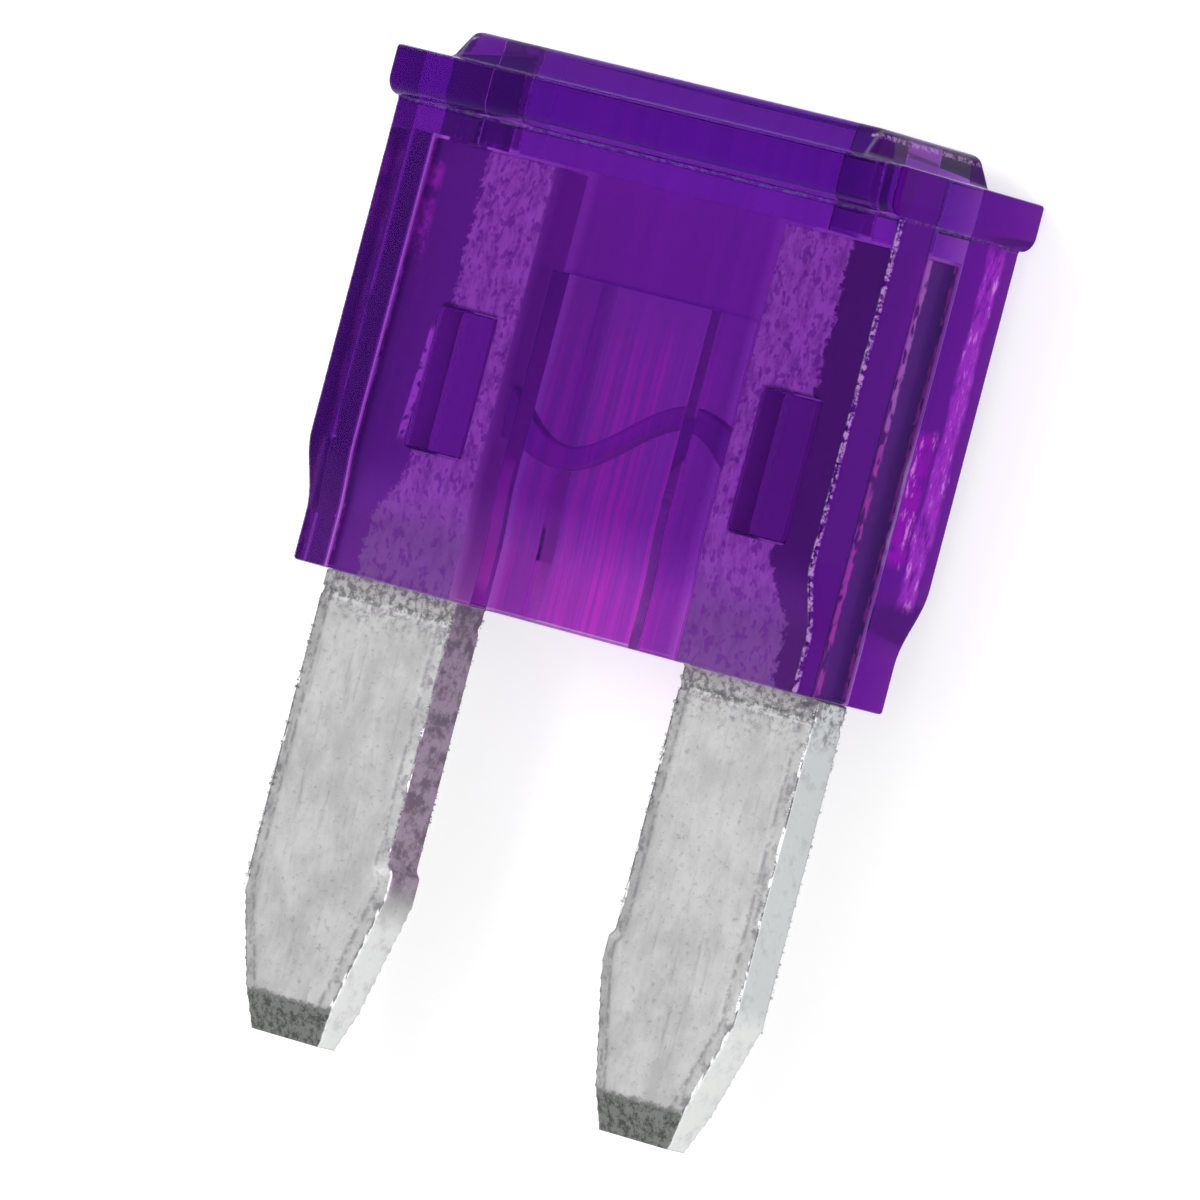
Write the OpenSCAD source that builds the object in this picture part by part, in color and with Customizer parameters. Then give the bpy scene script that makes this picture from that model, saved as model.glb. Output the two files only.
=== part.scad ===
// Miniature automotive blade fuse, lying on its back.
// X runs across the two blades, Y along them towards the head, Z up out of the broad front face.

/* [Overall] */
// Width over the head
overall_w = 10.9; // [10.7:0.1:12.5]
// Thickness over the head
overall_t = 3.6; // [3.4:0.1:4.4]
// Length from the blade tips to the crown
overall_l = 16.3; // [15.4:0.1:18.5]

/* [Housing] */
// Length of the housing, from its mouth to the crown
housing_l = 8.88; // [8.6:0.02:9.4]
// How far the head stands out past each end of the body
head_lip_end = 0.03; // [0.02:0.01:0.12]
// How far the head stands out past each broad face of the body
head_lip_face = 0.3; // [0.2:0.01:0.4]
// Height of the head flange
flange_h = 0.8; // [0.5:0.02:0.9]
// Radius under the flange, where a puller grips
flange_r = 0.28; // [0.1:0.02:0.3]
// Height of the crown on top of the flange
crown_h = 0.5; // [0.4:0.02:0.6]
// How far the foot of each end of the crown is set in from the head
crown_in_end = 0.95; // [0.6:0.05:1.2]
// How far the foot of each broad face of the crown is set in from the head
crown_in_face = 0.28; // [0.1:0.02:0.5]
// How far each end of the crown leans in by its top
crown_lean_end = 0.12; // [0.04:0.02:0.2]
// How far each broad face of the crown leans in by its top
crown_lean_face = 0.28; // [0.04:0.02:0.4]
// Radius of the crown's top edge
crown_r = 0.15; // [0.1:0.01:0.2]
// Radius of the upright corners
corner_r = 0.1; // [0.06:0.02:0.2]
// Length of the thin skirt at the mouth
skirt_l = 0.8; // [0.4:0.1:1.1]
// Length of the curved step between skirt and body
step_l = 1.3; // [0.8:0.1:1.5]
// How far the skirt is set in on each broad face
step_in = 0.37; // [0.1:0.01:0.45]

/* [Cavity] */
// Running clearance round the metal element
gap = 0.03; // [0.01:0.01:0.05]
// Clearance above the top of the element
top_gap = 0.05; // [0.02:0.01:0.2]
// Width of the chamber round the fuse link
chamber_w = 3.4; // [2.4:0.1:4.4]
// Thickness of the chamber round the fuse link
chamber_t = 1.7; // [1.2:0.1:1.8]
// Length of the chamber, which is open at the mouth
chamber_l = 5.5; // [4.8:0.1:6.4]
// Width of each test slot in the crown
probe_w = 0.9; // [0.6:0.05:1]
// How far a test slot lies inside the middle line of its blade
probe_in = 0.12; // [0.1:0.02:0.6]

/* [Stakes] */
// Width of each stake, the block of plastic that holds a blade by its window
stake_w = 1.15; // [0.8:0.05:1.3]
// Length of each stake
stake_l = 2.3; // [1.6:0.1:2.6]
// Distance from the mouth to the middle of a stake
stake_from_mouth = 3.36; // [3:0.02:3.8]
// How far a stake lies inside the middle line of its blade
stake_in = 0.42; // [0.2:0.02:0.5]
// How far a stake reaches into the blade's window from each face
stake_reach = 0.26; // [0.1:0.02:0.34]

/* [Blades] */
// How far the outer edge of each blade lies inside the end of the body
blade_end_in = 0.12; // [0.08:0.01:0.16]
// Width of each blade
blade_w = 2.85; // [2.7:0.05:2.9]
// Thickness of each blade
blade_t = 0.8; // [0.6:0.05:0.9]
// How far the outer edge steps in where a blade enters the housing
shoulder_in = 0.18; // [0.12:0.01:0.3]
// Length of the element inside the housing
element_in = 7.1; // [6.8:0.05:7.2]
// Length of the taper on the outer edge
outer_taper_l = 2.15; // [1.5:0.05:3]
// Length of the taper on the inner edge
inner_taper_l = 2.6; // [1.5:0.05:3]
// How far the outer edge comes in at the tip
outer_taper_in = 0.78; // [0.4:0.02:1]
// How far the inner edge comes in at the tip
inner_taper_in = 0.72; // [0.3:0.02:1]
// Height of the cut tie-bar stub on the inner edge
stub_h = 0.14; // [0.05:0.01:0.2]
// Length of the cut tie-bar stub
stub_l = 0.4; // [0.2:0.05:0.8]
// Length of the bevel at the tip
tip_bevel_l = 0.65; // [0.3:0.05:1]
// Depth of the bevel on each face of the tip
tip_bevel_in = 0.15; // [0.05:0.01:0.25]
// Distance of the coined line from the mouth
coin_from_mouth = 0.34; // [0.2:0.02:0.6]
// Width of the coined line
coin_w = 0.1; // [0.05:0.01:0.2]
// Depth of the coined line
coin_depth = 0.04; // [0.02:0.01:0.08]

/* [Fuse link] */
// Thickness of the link
link_t = 0.25; // [0.15:0.05:0.4]
// Width of the link at its middle
link_w = 0.36; // [0.2:0.02:0.6]
// Extra width of the link where it joins a blade
link_flare = 0.5; // [0.2:0.05:0.8]
// Height of each bend of the link
link_bend = 0.55; // [0.2:0.05:0.8]
// Distance from the mouth to the middle of the link
link_from_mouth = 3.2; // [2.8:0.1:4]

/* [Hidden] */
$fn = 48;

// Extra length that a cut runs past the face it opens
over = 0.5;
// Overlap that joins two solids of one piece
weld = 0.02;
// Points along each curve that follows a formula
curve_steps = 16;

mid_z = overall_t / 2;
tip_y = -overall_l / 2;
crown_y = overall_l / 2;
mouth_y = crown_y - housing_l;
flange_top_y = crown_y - crown_h;
flange_y = flange_top_y - flange_h;
body_w = overall_w - 2 * head_lip_end;
body_t = overall_t - 2 * head_lip_face;
skirt_t = body_t - 2 * step_in;
crown_w = overall_w - 2 * crown_in_end;
crown_t = overall_t - 2 * crown_in_face;

outer_x = body_w / 2 - blade_end_in;
inner_x = outer_x - blade_w;
blade_x = (outer_x + inner_x) / 2;
upper_outer_x = outer_x - shoulder_in;
element_top_y = mouth_y + element_in;
slot_t = blade_t + 2 * gap;
slot_w = 2 * (upper_outer_x + gap);
stake_x = blade_x - stake_in;
stake_y = mouth_y + stake_from_mouth;
window_w = stake_w + 2 * gap;
window_l = stake_l + 2 * gap;
link_y = mouth_y + link_from_mouth;
coin_y = mouth_y - coin_from_mouth;

// A flat outline in X and Y, made h thick about the middle plane
module slab(h) {
    translate([0, 0, mid_z]) linear_extrude(h, center = true) children();
}

// A profile drawn as [height above the middle plane, Y], run w along X
module run_x(w) {
    translate([0, 0, mid_z]) rotate([0, -90, 0]) linear_extrude(w, center = true) children();
}

// A section drawn in X and height above the middle plane, run along Y from y0 to y1
module run_y(y0, y1) {
    translate([0, y1, mid_z]) rotate([90, 0, 0]) linear_extrude(y1 - y0) children();
}

module mirror_x() {
    children();
    mirror([1, 0, 0]) children();
}

module mirror_faces() {
    children();
    translate([0, 0, 2 * mid_z]) mirror([0, 0, 1]) children();
}

module round_rect(w, h, r) {
    square([w - 2 * r, h], center = true);
    square([w, h - 2 * r], center = true);
    for (sx = [-1, 1], sy = [-1, 1])
        translate([sx * (w / 2 - r), sy * (h / 2 - r)]) circle(r);
}

// A block from y0 to y1, centred on x = 0, with its two corners at y0 rounded
module round_foot(w, y0, y1, r) {
    translate([-w / 2, y0 + r]) square([w, y1 - y0 - r]);
    translate([-w / 2 + r, y0]) square([w - 2 * r, y1 - y0]);
    for (sx = [-1, 1]) translate([sx * (w / 2 - r), y0 + r]) circle(r);
}

// A block w wide at y0, whose sides lean in by lean at y1, with its two corners at y1 rounded
module leaning_block(w, lean, y0, y1, r) {
    turn = atan(lean / (y1 - y0));
    arc_x = w / 2 - lean - r * (1 - sin(turn)) / cos(turn);
    arc = [for (i = [0:curve_steps]) let (a = turn + (90 - turn) * i / curve_steps)
        [arc_x + r * cos(a), y1 - r + r * sin(a)]];
    half = concat([[w / 2, y0]], arc);
    polygon(concat(half, [for (i = [len(half) - 1:-1:0]) [-half[i][0], half[i][1]]]));
}

// Half thickness of the body at a share s of the way along the curved step, 0 at the skirt
function step_half(s) = skirt_t / 2 + step_in * (1 - cos(180 * s)) / 2;

module body_profile() {
    y0 = mouth_y + skirt_l;
    rise = [for (i = [0:curve_steps]) [step_half(i / curve_steps), y0 + step_l * i / curve_steps]];
    half = concat([[skirt_t / 2, mouth_y]], rise, [[body_t / 2, flange_y + weld]]);
    back = [for (i = [len(half) - 1:-1:0]) [-half[i][0], half[i][1]]];
    polygon(concat(half, back));
}

module body_block() {
    intersection() {
        run_x(body_w) body_profile();
        run_y(mouth_y - over, crown_y) round_rect(body_w, body_t, corner_r);
    }
}

module flange() {
    intersection() {
        run_x(overall_w) round_foot(overall_t, flange_y, flange_top_y, flange_r);
        run_y(flange_y - over, crown_y) round_rect(overall_w, overall_t, corner_r);
    }
}

module crown() {
    intersection() {
        run_x(crown_w) leaning_block(crown_t, crown_lean_face, flange_top_y - weld, crown_y, crown_r);
        slab(crown_t) leaning_block(crown_w, crown_lean_end, flange_top_y - weld, crown_y, crown_r);
        run_y(flange_y, crown_y + over) round_rect(crown_w, crown_t, corner_r);
    }
}

// The slot that takes the element and the wider chamber round the link, both open at the mouth
module cavity() {
    run_y(mouth_y - over, element_top_y + top_gap) square([slot_w, slot_t], center = true);
    run_y(mouth_y - over, mouth_y + chamber_l) square([chamber_w, chamber_t], center = true);
}

module test_slots() {
    mirror_x() translate([blade_x - probe_in, 0])
        run_y(element_top_y, crown_y + over) square([probe_w, slot_t], center = true);
}

// Plastic that stands in the blades' windows and holds the element
module stakes() {
    mirror_faces() mirror_x()
        translate([stake_x - stake_w / 2, stake_y - stake_l / 2, mid_z + blade_t / 2 - stake_reach])
            cube([stake_w, stake_l, stake_reach + gap + weld]);
}

module housing() {
    color([0.35, 0.08, 0.55, 0.85]) union() {
        difference() {
            union() {
                body_block();
                flange();
                crown();
            }
            cavity();
            test_slots();
        }
        stakes();
    }
}

// Outline of the blade on the +X side, from its tip to its top inside the housing
module blade_outline() {
    taper_y = tip_y + inner_taper_l;
    polygon([
        [inner_x - stub_h + inner_taper_in, tip_y],
        [outer_x - outer_taper_in, tip_y],
        [outer_x, tip_y + outer_taper_l],
        [outer_x, mouth_y],
        [upper_outer_x, mouth_y],
        [upper_outer_x, element_top_y],
        [inner_x, element_top_y],
        [inner_x, taper_y + stub_l + stub_h],
        [inner_x - stub_h, taper_y + stub_l],
        [inner_x - stub_h, taper_y]
    ]);
}

// Side view of the element: both faces bevelled at the tip and crossed by the coined line
module element_profile() {
    half = blade_t / 2;
    edge = [
        [half - tip_bevel_in, tip_y],
        [half, tip_y + tip_bevel_l],
        [half, coin_y - coin_w / 2],
        [half - coin_depth, coin_y - coin_w / 2],
        [half - coin_depth, coin_y + coin_w / 2],
        [half, coin_y + coin_w / 2],
        [half, element_top_y]
    ];
    polygon(concat(edge, [for (i = [len(edge) - 1:-1:0]) [-edge[i][0], edge[i][1]]]));
}

// Half width and middle line of the link at a share s of the way across, from -1 to 1
function link_half(s) = (link_w + link_flare * pow(abs(s), 4)) / 2;
function link_mid(s) = link_y + link_bend * sin(180 * s);

module link_outline() {
    reach = inner_x + weld;
    shares = [for (i = [-curve_steps:curve_steps]) i / curve_steps];
    upper = [for (s = shares) [reach * s, link_mid(s) + link_half(s)]];
    lower = [for (s = shares) [-reach * s, link_mid(-s) - link_half(s)]];
    polygon(concat(upper, lower));
}

module fuse_element() {
    color([0.76, 0.77, 0.76]) union() {
        intersection() {
            slab(blade_t) mirror_x() difference() {
                blade_outline();
                translate([stake_x, stake_y]) square([window_w, window_l], center = true);
            }
            run_x(2 * (outer_x + over)) element_profile();
        }
        slab(link_t) link_outline();
    }
}

housing();
fuse_element();
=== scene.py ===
import math

import bmesh
import bpy
from mathutils import Matrix, Vector, noise


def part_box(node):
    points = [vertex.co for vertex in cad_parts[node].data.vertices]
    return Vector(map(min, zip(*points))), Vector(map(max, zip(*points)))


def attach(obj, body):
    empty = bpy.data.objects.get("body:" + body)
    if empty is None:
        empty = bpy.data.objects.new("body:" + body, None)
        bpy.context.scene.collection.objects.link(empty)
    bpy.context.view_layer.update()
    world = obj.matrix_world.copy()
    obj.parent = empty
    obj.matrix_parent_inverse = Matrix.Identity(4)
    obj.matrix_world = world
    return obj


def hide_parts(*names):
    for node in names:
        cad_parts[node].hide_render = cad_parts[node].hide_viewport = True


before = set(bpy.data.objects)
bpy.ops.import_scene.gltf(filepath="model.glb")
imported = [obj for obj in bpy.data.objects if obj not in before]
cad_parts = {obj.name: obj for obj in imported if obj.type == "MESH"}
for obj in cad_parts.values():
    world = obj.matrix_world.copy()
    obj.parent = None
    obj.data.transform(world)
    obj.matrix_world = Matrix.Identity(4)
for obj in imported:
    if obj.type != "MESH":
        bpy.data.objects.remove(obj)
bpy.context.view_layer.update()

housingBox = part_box("housing")
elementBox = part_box("fuse_element")
mm = 0.001
midZ = (housingBox[0].z + housingBox[1].z) / 2 / mm  # middle plane of the blades
scene = bpy.context.scene
scene.view_settings.view_transform = "Standard"
print("frame loaded")


# Camera

cameraSpec = {
    "azimuth": 40.498,  # degrees from the front face's normal towards the right blade
    "elevation": 0.293,  # degrees towards the head
    "roll": 14.7,  # degrees that the head leans to the right
    "distance": 283.2,
    "pixelsPerMm": 63.23,  # at the aim, on a frame 1200 pixels wide
    "aimPixelX": 596.3,  # where the part's middle lies in that frame
    "aimPixelY": 591.7,
    "framePixels": 1200,
    "sensor": 36.0,
}


def makeCamera(spec):
    turn, lift, roll = (math.radians(spec[k]) for k in ("azimuth", "elevation", "roll"))
    back = Vector((math.sin(turn) * math.cos(lift), math.sin(lift), math.cos(turn) * math.cos(lift)))
    right = Vector((math.cos(turn), 0, -math.sin(turn)))
    up = back.cross(right)
    right, up = right * math.cos(roll) + up * math.sin(roll), up * math.cos(roll) - right * math.sin(roll)
    middle = spec["framePixels"] / 2
    shiftX = (middle - spec["aimPixelX"]) / spec["pixelsPerMm"]
    shiftY = (spec["aimPixelY"] - middle) / spec["pixelsPerMm"]
    place = (Vector((0, 0, midZ)) + right * shiftX + up * shiftY + back * spec["distance"]) * mm
    data = bpy.data.cameras.new("camera")
    data.sensor_width = spec["sensor"]
    data.lens = spec["pixelsPerMm"] * spec["distance"] / spec["framePixels"] * spec["sensor"]
    data.clip_start = 0.01
    data.clip_end = 5.0
    camera = bpy.data.objects.new("camera", data)
    camera.matrix_world = Matrix.Translation(place) @ Matrix((right, up, back)).transposed().to_4x4()
    scene.collection.objects.link(camera)
    scene.camera = camera


makeCamera(cameraSpec)
print("camera placed")


# Node trees

class Tree:
    def __init__(self, tree):
        self.tree = tree
        tree.nodes.clear()

    def node(self, kind, **values):
        made = self.tree.nodes.new(kind)
        for key, value in values.items():
            setattr(made, key, value)
        return made

    def step(self, kind, geometry, **sockets):
        made = self.node(kind)
        self.wire(geometry, made.inputs[0])
        for key, value in sockets.items():
            self.feed(made.inputs[key], value)
        return made.outputs[0]

    def wire(self, source, target):
        self.tree.links.new(source, target)

    def feed(self, socket, value):
        if isinstance(value, bpy.types.NodeSocket):
            self.wire(value, socket)
        else:
            socket.default_value = value

    def math(self, operation, a, b=0.0, clamp=False):
        made = self.node("ShaderNodeMath", operation=operation, use_clamp=clamp)
        self.feed(made.inputs[0], a)
        self.feed(made.inputs[1], b)
        return made.outputs[0]

    def fade(self, value, low, high):
        made = self.node("ShaderNodeMapRange", interpolation_type="SMOOTHSTEP")
        self.feed(made.inputs["Value"], value)
        self.feed(made.inputs["From Min"], low)
        self.feed(made.inputs["From Max"], high)
        return made.outputs["Result"]

    def band(self, value, low, high, soft):
        rising = self.fade(value, low - soft, low + soft)
        falling = self.fade(value, high + soft, high - soft)
        return self.math("MULTIPLY", rising, falling)

    def fadeAt(self, value, place, offsets):
        return self.fade(value, place + offsets[0], place + offsets[1])

    def bandAt(self, value, place, offsets, soft):
        return self.band(value, place + offsets[0], place + offsets[1], soft)

    def times(self, *values):
        total = values[0]
        for value in values[1:]:
            total = self.math("MULTIPLY", total, value)
        return total

    def most(self, *values):
        total = values[0]
        for value in values[1:]:
            total = self.math("MAXIMUM", total, value)
        return total


class Shader(Tree):
    def mix(self, share, a, b):
        made = self.node("ShaderNodeMix", data_type="RGBA")
        self.feed(made.inputs["Factor"], share)
        self.feed(made.inputs["A"], a)
        self.feed(made.inputs["B"], b)
        return made.outputs["Result"]

    def blend(self, share, a, b):
        made = self.node("ShaderNodeMix", data_type="FLOAT")
        self.feed(made.inputs["Factor"], share)
        self.feed(made.inputs["A"], a)
        self.feed(made.inputs["B"], b)
        return made.outputs["Result"]

    def place(self, stretch=(1, 1, 1)):
        coordinates = self.node("ShaderNodeTexCoord").outputs["Object"]
        mapping = self.node("ShaderNodeMapping")
        mapping.inputs["Scale"].default_value = [s / mm for s in stretch]  # to millimetres
        self.wire(coordinates, mapping.inputs["Vector"])
        return mapping.outputs["Vector"]

    def noise(self, scale, detail, rough, stretch=(1, 1, 1)):
        made = self.node("ShaderNodeTexNoise")
        self.wire(self.place(stretch), made.inputs["Vector"])
        made.inputs["Scale"].default_value = scale
        made.inputs["Detail"].default_value = detail
        made.inputs["Roughness"].default_value = rough
        return made.outputs["Fac"]

    def grain(self, spec, kind):
        return self.fade(self.noise(*spec[kind + "Grain"]), *spec[kind + "Levels"])

    def swing(self, value, amount):
        return self.times(self.math("SUBTRACT", value, 0.5), amount)

    def axes(self):
        made = self.node("ShaderNodeSeparateXYZ")
        self.wire(self.place(), made.inputs[0])
        z = self.math("SUBTRACT", made.outputs["Z"], midZ)
        return made.outputs["X"], made.outputs["Y"], z, self.math("ABSOLUTE", z)

    def facing(self):
        made = self.node("ShaderNodeSeparateXYZ")
        self.wire(self.node("ShaderNodeTexCoord").outputs["Normal"], made.inputs[0])
        x = made.outputs["X"]
        return x, self.math("ABSOLUTE", x), self.math("ABSOLUTE", made.outputs["Z"])

    def attribute(self, name):
        return self.node("ShaderNodeAttribute", attribute_name=name).outputs["Fac"]

    def bump(self, height, strength, depth):
        made = self.node("ShaderNodeBump")
        made.inputs["Strength"].default_value = strength
        made.inputs["Distance"].default_value = depth * mm
        self.wire(height, made.inputs["Height"])
        return made.outputs["Normal"]


def newMaterial(name):
    material = bpy.data.materials.new(name)
    material.use_nodes = True
    return material, Shader(material.node_tree)


# Mesh helpers, with points in mm and heights counted from the middle plane

def meshObject(name, points, faces, material=None, edges=()):
    data = bpy.data.meshes.new(name)
    data.from_pydata([(x * mm, y * mm, (z + midZ) * mm) for x, y, z in points], list(edges), faces)
    data.update()
    made = bpy.data.objects.new(name, data)
    scene.collection.objects.link(made)
    if material:
        data.materials.append(material)
    return made


def roundSection(halfW, halfT, radius):
    cornerSteps = 5
    points = []
    for quarter, (signX, signZ) in enumerate(((1, -1), (1, 1), (-1, 1), (-1, -1))):
        for step in range(cornerSteps + 1):
            angle = math.radians(90 * (quarter - 1) + 90 * step / cornerSteps)
            points.append((signX * (halfW - radius) + radius * math.cos(angle),
                           signZ * (halfT - radius) + radius * math.sin(angle)))
    return points


def skin(name, loops, material=None):
    count = len(loops[0])
    faces = [list(range(count)), [(len(loops) - 1) * count + i for i in reversed(range(count))]]
    for r in range(len(loops) - 1):
        for i in range(count):
            j = (i + 1) % count
            faces.append([r * count + j, r * count + i, (r + 1) * count + i, (r + 1) * count + j])
    made = meshObject(name, [p for loop in loops for p in loop], faces, material)
    fixNormals(made)
    return made


def loftAlongY(name, rings, material=None, centreX=0.0):
    return skin(name, [[(centreX + x, y, z) for x, z in ring] for y, ring in rings], material)


def fixNormals(piece):
    work = bmesh.new()
    work.from_mesh(piece.data)
    bmesh.ops.remove_doubles(work, verts=work.verts, dist=1e-7)
    bmesh.ops.recalc_face_normals(work, faces=work.faces)
    work.to_mesh(piece.data)
    work.free()
    piece.data.update()


def applyModifiers(piece):
    graph = bpy.context.evaluated_depsgraph_get()
    data = bpy.data.meshes.new_from_object(piece.evaluated_get(graph))
    piece.modifiers.clear()
    old = piece.data
    piece.data = data
    bpy.data.meshes.remove(old)
    data.name = piece.name


def carve(piece, cutter, operation="DIFFERENCE"):
    modifier = piece.modifiers.new("carve", "BOOLEAN")
    modifier.operation = operation
    modifier.solver = "EXACT"
    modifier.object = cutter
    applyModifiers(piece)
    bpy.data.objects.remove(cutter)


def smoothByAngle(piece, degrees):
    piece.data.shade_smooth()
    piece.data.set_sharp_from_angle(angle=math.radians(degrees))


# Housing

housingSpec = {
    "mouthY": housingBox[0].y / mm,
    "crownY": housingBox[1].y / mm,
    "headHalfW": (housingBox[1].x - housingBox[0].x) / 2 / mm,
    "headHalfT": (housingBox[1].z - housingBox[0].z) / 2 / mm,
    "lipEnd": 0.03,
    "lipFace": 0.3,
    "flangeH": 0.8,
    "flangeR": 0.28,
    "crownH": 0.5,
    "crownInEnd": 0.95,
    "crownInFace": 0.28,
    "crownLeanEnd": 0.12,
    "crownLeanFace": 0.28,
    "crownR": 0.15,
    "skirtL": 0.8,
    "stepL": 1.3,
    "stepIn": 0.37,
    "cornerR": 0.1,
    "edgeR": 0.05,
}


def bodyPlaces(spec):
    bodyHalfT = spec["headHalfT"] - spec["lipFace"]
    stepY = spec["mouthY"] + spec["skirtL"]
    return {
        "bodyHalfW": spec["headHalfW"] - spec["lipEnd"],
        "bodyHalfT": bodyHalfT,
        "skirtHalfT": bodyHalfT - spec["stepIn"],
        "stepY": (stepY, stepY + spec["stepL"]),
        "seamY": spec["crownY"] - spec["crownH"] - spec["flangeH"],
    }


housingSpec.update(bodyPlaces(housingSpec))


def stepRings(spec):
    edge, corner, mouth = spec["edgeR"], spec["cornerR"], spec["mouthY"]
    bodyW, skirtT = spec["bodyHalfW"], spec["skirtHalfT"]
    rings = [(mouth + edge * share, roundSection(bodyW - edge * inset, skirtT - edge * inset, corner))
             for share, inset in ((0, 1), (0.3, 0.3), (1, 0))]
    steps = 16
    for i in range(steps + 1):
        share = i / steps
        half = skirtT + spec["stepIn"] * (1 - math.cos(math.pi * share)) / 2
        rings.append((spec["stepY"][0] + spec["stepL"] * share, roundSection(bodyW, half, corner)))
    return rings


def flangeRings(spec):
    edge, corner, radius, foot = spec["edgeR"], spec["cornerR"], spec["flangeR"], spec["seamY"]
    headW, headT = spec["headHalfW"], spec["headHalfT"]
    rings = [(foot - 0.8 * edge, roundSection(spec["bodyHalfW"], spec["bodyHalfT"], corner))]
    steps = 8
    for i in range(steps + 1):
        angle = math.pi / 2 * i / steps
        out = radius * (1 - math.sin(angle))
        endOut = spec["lipEnd"] * (1 - math.sin(angle))
        y = foot + radius * (1 - math.cos(angle))
        rings.append((y, roundSection(headW - endOut, headT - out, corner)))
    top = foot + spec["flangeH"]
    rings += [(top - edge * share, roundSection(headW - edge * inset, headT - edge * inset, corner))
              for share, inset in ((1, 0), (0.3, 0.3), (0, 1))]
    return rings


def leaningHalf(y, foot, lean, y0, y1, radius):
    turn = math.atan(lean / (y1 - y0))
    arcX = foot - lean - radius * (1 - math.sin(turn)) / math.cos(turn)
    if y < y1 - radius + radius * math.sin(turn):
        return foot - lean * (y - y0) / (y1 - y0)
    rise = min(1.0, (y - y1 + radius) / radius)
    return arcX + radius * math.sqrt(1 - rise * rise)


def crownRings(spec):
    edge, corner, radius, y1 = spec["edgeR"], spec["cornerR"], spec["crownR"], spec["crownY"]
    y0 = spec["seamY"] + spec["flangeH"]
    footW = spec["headHalfW"] - spec["crownInEnd"]
    footT = spec["headHalfT"] - spec["crownInFace"]
    rings = [(y0, roundSection(footW + edge, footT + edge, corner + edge)),
             (y0 + 0.3 * edge, roundSection(footW + 0.3 * edge, footT + 0.3 * edge, corner + 0.3 * edge))]
    heights = [y0 + edge, (y0 + y1 - radius) / 2, y1 - radius]
    steps = 9
    heights += [y1 - radius + radius * math.sin(math.pi / 2 * i / steps) for i in range(1, steps + 1)]
    for y in heights:
        halfW = leaningHalf(y, footW, spec["crownLeanEnd"], y0, y1, radius)
        halfT = leaningHalf(y, footT, spec["crownLeanFace"], y0, y1, radius)
        rings.append((y, roundSection(halfW, halfT, corner)))
    return rings


cavitySpec = {
    "slotHalfW": 5.15,
    "slotHalfT": 0.43,
    "slotTopY": 6.42,
    "leadIn": 0.04,
    "chamberHalfW": 1.7,
    "chamberHalfT": 0.85,
    "chamberTopY": 4.77,
    "chamberR": 0.02,
    "probeX": 3.755,
    "probeHalfW": 0.45,
    "stakeX": 3.455,
    "stakeY": 2.63,
    "stakeHalfW": 0.575,
    "stakeHalfL": 1.15,
    "stakeFrom": 0.14,  # height of a stake's end above the middle plane
    "stakeR": 0.06,
    "stakeRoot": 0.05,  # how far a stake reaches into the wall that it grows from
    "slotR": 0.05,
    "mouthR": 0.1,
    "below": 0.4,  # how far the cutters start below the mouth
    "probeR": 0.06,
    "probeSlack": 0.004,
    "probeFlare": 0.05,
    "probeFlareY": (-0.06, 0.01, 0.3),  # from the crown's top
}


def slotCutter(spec, mouthY):
    halfW, halfT, lead = spec["slotHalfW"], spec["slotHalfT"], spec["leadIn"]
    wide = roundSection(halfW + lead, halfT + lead, spec["mouthR"])
    ring = roundSection(halfW, halfT, spec["slotR"])
    return loftAlongY("slotCutter", [(mouthY - spec["below"], wide), (mouthY, wide),
                                     (mouthY + lead * 1.5, ring), (spec["slotTopY"], ring)])


def chamberCutter(spec, mouthY):
    top, halfW, halfT, r = (spec[k] for k in ("chamberTopY", "chamberHalfW", "chamberHalfT", "chamberR"))
    rings = [(mouthY - spec["below"], roundSection(halfW, halfT, r))]
    steps = 6
    for i in range(steps + 1):
        turn = math.pi / 2 * i / steps
        inset = r * (1 - math.cos(turn))
        rings.append((top - r * (1 - math.sin(turn)), roundSection(halfW - inset, halfT - inset, r)))
    return loftAlongY("chamberCutter", rings)


def probeCutter(spec, side, crownY):
    flare, (foot, top, over) = spec["probeFlare"], spec["probeFlareY"]
    ring = roundSection(spec["probeHalfW"], spec["slotHalfT"] - spec["probeSlack"], spec["probeR"])
    mouth = roundSection(spec["probeHalfW"] + flare, spec["slotHalfT"] + flare, spec["mouthR"])
    rings = [(spec["slotTopY"] - 0.1, ring), (crownY + foot, ring),
             (crownY + top, mouth), (crownY + over, mouth)]
    return loftAlongY("probeCutter", rings, centreX=side * spec["probeX"])


def stakeBlock(spec, sideX, sideZ):
    base, end, r = spec["slotHalfT"] + spec["stakeRoot"], spec["stakeFrom"], spec["stakeR"]
    loops = []
    for level, grow in ((base, 0.0), (end + r, 0.0), (end + 0.3 * r, -0.3 * r), (end, -r)):
        section = roundSection(spec["stakeHalfW"] + grow, spec["stakeHalfL"] + grow, spec["mouthR"])
        loops.append([(sideX * spec["stakeX"] + x, spec["stakeY"] + y, sideZ * level) for x, y in section])
    return skin("stakeBlock", loops)


def makeHousing():
    rings = stepRings(housingSpec) + flangeRings(housingSpec) + crownRings(housingSpec)
    piece = loftAlongY("housingShell", rings, plastic)
    carve(piece, slotCutter(cavitySpec, housingSpec["mouthY"]))
    carve(piece, chamberCutter(cavitySpec, housingSpec["mouthY"]))
    for side in (-1, 1):
        carve(piece, probeCutter(cavitySpec, side, housingSpec["crownY"]))
    for sideX in (-1, 1):
        for sideZ in (-1, 1):
            carve(piece, stakeBlock(cavitySpec, sideX, sideZ), "UNION")
    fixNormals(piece)
    smoothByAngle(piece, 32)
    weighted = piece.modifiers.new("weighted", "WEIGHTED_NORMAL")
    weighted.keep_sharp = True
    applyModifiers(piece)
    return piece


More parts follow.
